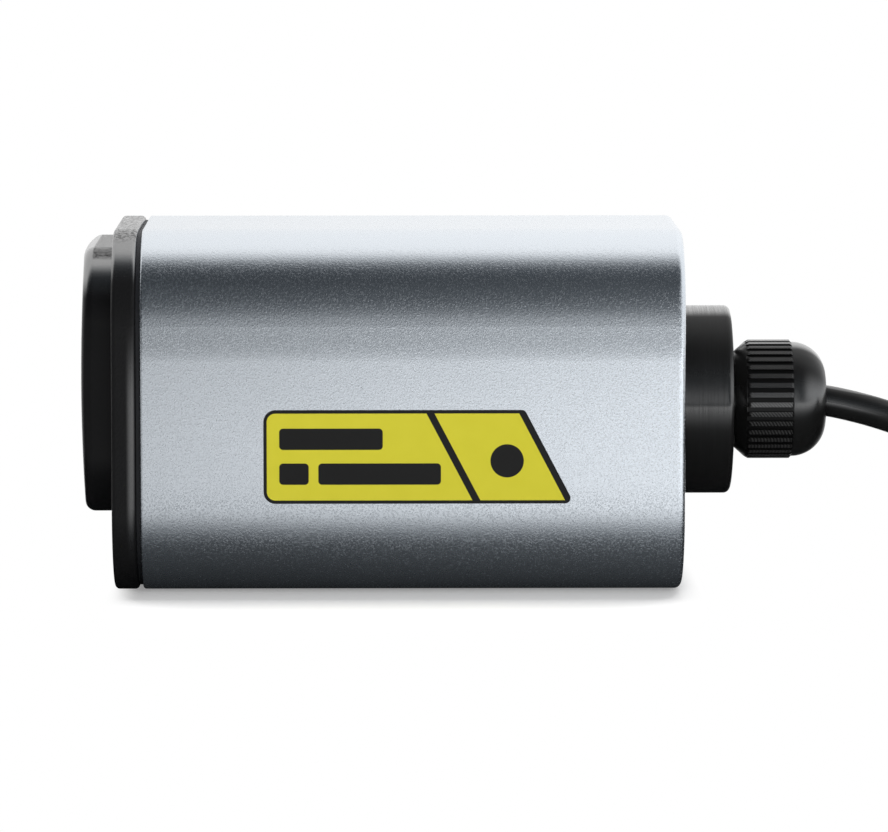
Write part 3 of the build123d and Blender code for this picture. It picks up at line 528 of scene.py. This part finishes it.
def jacket_highlight_paint(recipe):
    """Painted highlights on the cable, along the first part of its fall: the height over the cable's
    middle, which sinks by 0.19 for each step along x, is shared by the cable's radius."""
    x, y, z = recipe.place()
    middle = axis_height - (x - 46 * MM).most(0.0) * 0.19
    share = (z - middle) / (cable_diameter / 2 * MM)
    near = x.step(56 * MM, 62 * MM, 1.0, 0.0)
    # Painted highlight: a bright band on top and a fainter one below it
    return (share.step(0.93, 0.99) * 0.4 + abs(share - 0.25).step(0.0, 0.5, 0.36, 0.0)) * near


# %% Mould the plastics
moulded("textured_black_plastic", (0.008, 0.008, 0.0085), 0.30 * MM, 0.05 * MM, 0.42, ior=1.3,
        highlight_coat=frame_highlight_paint)
moulded("smooth_black_plastic", (0.006, 0.006, 0.0065), 0.16 * MM, 0.004 * MM, 0.30, ior=1.25,
        highlight_coat=bezel_highlight_paint)
moulded("cable_jacket", (0.009, 0.009, 0.009), 0.20 * MM, 0.006 * MM, 0.34, ior=1.3,
        highlight_coat=jacket_highlight_paint)
moulded("seal_rubber", (0.012, 0.013, 0.016), 0.15 * MM, 0.008 * MM, 0.6)
moulded("optics_black", (0.008, 0.008, 0.008), 0.15 * MM, 0.008 * MM, 0.6)
moulded("component_black", (0.015, 0.015, 0.016), 0.08 * MM, 0.003 * MM, 0.5)
moulded("component_grey", (0.10, 0.10, 0.11), 0.10 * MM, 0.003 * MM, 0.45)
moulded("header_plastic", (0.62, 0.57, 0.44), 0.20 * MM, 0.003 * MM, 0.4)
moulded("core_insulation", (0.28, 0.14, 0.07), 0.20 * MM, 0.002 * MM, 0.35)
moulded("tie_nylon", (0.02, 0.02, 0.021), 0.12 * MM, 0.004 * MM, 0.38)
moulded("circuit_board", (0.015, 0.12, 0.05), 0.25 * MM, 0.004 * MM, 0.3)
print(len(materials), "finishes so far")

# %% [markdown]
# ## Small metal parts
# Screws, cans and ferrules are plated, which leaves faint marks that dull the shine here and there.

# %% Plated metals
def metal(name, colour, grain_size, roughness):
    """A plated metal whose marks move its colour, its gloss and a very shallow bump."""
    made, recipe = finish(name)
    marks = recipe.grain(grain_size, detail=3.0)
    tint = recipe.mix(marks, [c * 0.9 for c in colour], [min(c * 1.08, 1.0) for c in colour])
    recipe.surface(Base_Color=tint, Metallic=1.0, Roughness=marks * 0.16 + (roughness - 0.08),
                   Normal=recipe.bump(marks, 0.004 * MM, 0.6))
    materials[name] = made


metal("plated_steel", (0.62, 0.62, 0.63), 0.3 * MM, 0.3)
metal("tinned_steel", (0.66, 0.66, 0.66), 0.5 * MM, 0.24)
metal("gilt_brass", (0.83, 0.64, 0.30), 0.4 * MM, 0.26)

# %% [markdown]
# ## The collar and the gland
# Both are round on the sensor's axis, so their painted highlights are bands that run along it. The
# collar is turned and black anodised: its noise is drawn out across the axis, so its marks run round
# it.

# %% The turned collar
def round_glints(recipe, middle):
    """The coat weight that paints highlights on a round piece on the sensor's axis. The height over
    the axis is shared by the distance from it: near 1 is a painted bright band on top, and near 0.18
    a fainter one half way up, whose weight is given. Also the distance from the axis and the place
    along it."""
    x, y, z = recipe.place()
    rise = z - axis_height
    reach = (rise ** 2.0 + y ** 2.0) ** 0.5
    share = rise / reach
    return share.step(0.91, 0.98) + abs(share - 0.18).step(0.0, 0.46, middle, 0.0), reach, x


material, recipe = finish("black_anodised")
rings = recipe.grain(0.13 * MM, detail=4.0, roughness=0.7, stretch=(1, 60, 60))
# Painted highlight: the coat's weight draws the collar's bright bands
glints, reach, x = round_glints(recipe, 0.36)
recipe.surface(Base_Color=recipe.mix(rings, (0.005, 0.005, 0.005), (0.014, 0.014, 0.014)),
               Roughness=rings * 0.16 + 0.26, IOR=1.25, Coat_IOR=3.4, Coat_Roughness=0.14,
               Coat_Weight=glints * rings.step(0.25, 0.75, 0.65, 1.3),
               Normal=recipe.bump(rings, 0.003 * MM))
materials["black_anodised"] = material

# %% [markdown]
# The gland's ribs stand above 7.4 mm from the axis. Slanting tool marks cross their tops, a sine of
# the distance along a slanted line, and the grooves between them are painted darker as shade.

# %% The gland
material, recipe = finish("gland_plastic")
# Painted highlight: the coat's weight draws the gland's bright bands
glints, reach, x = round_glints(recipe, 0.50)
y, z = recipe.place()[1:]
land = reach.step(7.50 * MM, 7.62 * MM)
ribbed = x.step(37.4 * MM, 37.6 * MM) * x.step(43.4 * MM, 43.6 * MM, 1.0, 0.0)
mark_pitch = 0.42 * MM
marks = recipe.math("SINE", (x + (z + y)) * (2 * pi / mark_pitch)) * 0.5 + 0.5
scuffs = recipe.grain(0.12 * MM, detail=3.0)
top = land * ribbed
# Painted shade: in the ribbed part everything but the rib tops is darker than the rest of the gland
ground = recipe.mix(ribbed, (0.009, 0.009, 0.009), (0.004, 0.004, 0.004))
recipe.surface(Base_Color=recipe.mix(top * marks, ground, (0.040, 0.040, 0.040)),
               Roughness=scuffs * 0.14 + 0.24, IOR=1.3, Coat_IOR=3.4, Coat_Roughness=0.20,
               Coat_Weight=glints * ((1.0 - ribbed) + top * (marks * 0.5 + 0.5)),
               Normal=recipe.bump(top * marks + scuffs * 0.15, 0.03 * MM))
materials["gland_plastic"] = material

# %% [markdown]
# ## Window and lenses
# The window looks black but passes the sensor's infrared light, so it is a very dark red that lets
# a little through. The lenses are clear with a faint coating. Real glass that bends light would
# be slower to render and isn't seen, so a low alpha stands for it.

# %% The window and the lenses
material, recipe = finish("dark_window")
haze = recipe.grain(3 * MM)
recipe.surface(Base_Color=recipe.mix(haze, (0.010, 0.003, 0.003), (0.014, 0.004, 0.004)),
               Roughness=0.06, Alpha=0.86)
materials["dark_window"] = material

material, recipe = finish("lens_glass")
haze = recipe.grain(2 * MM)
recipe.surface(Base_Color=recipe.mix(haze, (0.60, 0.66, 0.80), (0.66, 0.60, 0.78)),
               Roughness=0.04, Alpha=0.45)
materials["lens_glass"] = material

# %% [markdown]
# ## The yellow film
# The film on the near side is printed: a yellow ground with a black border, a slanted black band
# that cuts off its right end, rows of plain rounded bars, and a dot. A painted picture would blur
# close up, so each shape is a distance to its edge, worked out from the object coordinates.

# %% Measure the film and set out its print
(film_left, _, film_low), (film_right, _, film_top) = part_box("side_label")
film_corner = 1.5 * MM
film_slant = 6.2 * MM
border = 0.42 * MM
# Two rows of plain bars, each as (left, right, low, high)
print_bars = [(-22.3 * MM, -9.3 * MM, 19.0 * MM, 21.7 * MM),
              (-22.3 * MM, -18.6 * MM, 14.6 * MM, 17.3 * MM),
              (-17.4 * MM, -2.0 * MM, 14.6 * MM, 17.3 * MM)]
bar_corner = 0.5 * MM
band_back, band_width = 11.6 * MM, 0.9 * MM
dot_place, dot_radius = (6.3 * MM, 17.6 * MM), 2.1 * MM
print("the film is", round((film_right - film_left) / MM, 1), "by",
      round((film_top - film_low) / MM, 1), "mm")

# %% Print the film
material, recipe = finish("yellow_film")
x, y, z = recipe.place()


def bar(x, z, left, right, low, high, corner):
    """The distance outside a rounded rectangle, negative within it: the straight distance from
    the rectangle that its corners' centres span, less the corners' radius."""
    across = abs(x - (left + right) / 2) - ((right - left) / 2 - corner)
    rise = abs(z - (low + high) / 2) - ((high - low) / 2 - corner)
    out = (across.most(0.0) ** 2.0 + rise.most(0.0) ** 2.0) ** 0.5
    return out + across.most(rise).least(0.0) - corner


edge = 0.03 * MM
lean = film_slant / (film_top - film_low)
slope = (1 + lean ** 2) ** 0.5
# How far a point lies past the film's slanted right end
past_end = (x - film_right + (z - film_low) * lean) / slope
outline = bar(x, z, film_left, film_right + film_slant, film_low, film_top, film_corner)
ink = outline.most(past_end).step(-border - edge, -border + edge)
# The band keeps the same distance from the slanted end, and the dot sits between the two
band = abs(past_end + band_back / slope) - band_width / 2
ink = ink.most(band.step(-edge, edge, 1.0, 0.0))
for left, right, low, high in print_bars:
    ink = ink.most(bar(x, z, left, right, low, high, bar_corner).step(-edge, edge, 1.0, 0.0))
dot = ((x - dot_place[0]) ** 2.0 + (z - dot_place[1]) ** 2.0) ** 0.5
ink = ink.most(dot.step(dot_radius - edge, dot_radius + edge, 1.0, 0.0))
wear = recipe.grain(2.5 * MM, detail=4.0)
ground = recipe.mix(wear, (0.69, 0.635, 0.034), (0.74, 0.68, 0.046))
film = recipe.mix(ink, ground, (0.012, 0.012, 0.012))
recipe.surface(Base_Color=film, Roughness=0.40 + wear * 0.06, IOR=1.3)
materials["yellow_film"] = material

# %% [markdown]
# ## Dressing the pieces
# Each CAD node names the slot of its finish, so one loop gives every piece its material.

# %% Give every piece its finish
for row in frame["record"]["subparts"]:
    piece = nodes[row["node"]]
    for slot in piece.material_slots:
        slot.material = materials[row["material_slot"]]
cable.data.materials.append(materials["cable_jacket"])
print(len(nodes), "pieces dressed in", len(materials), "finishes")
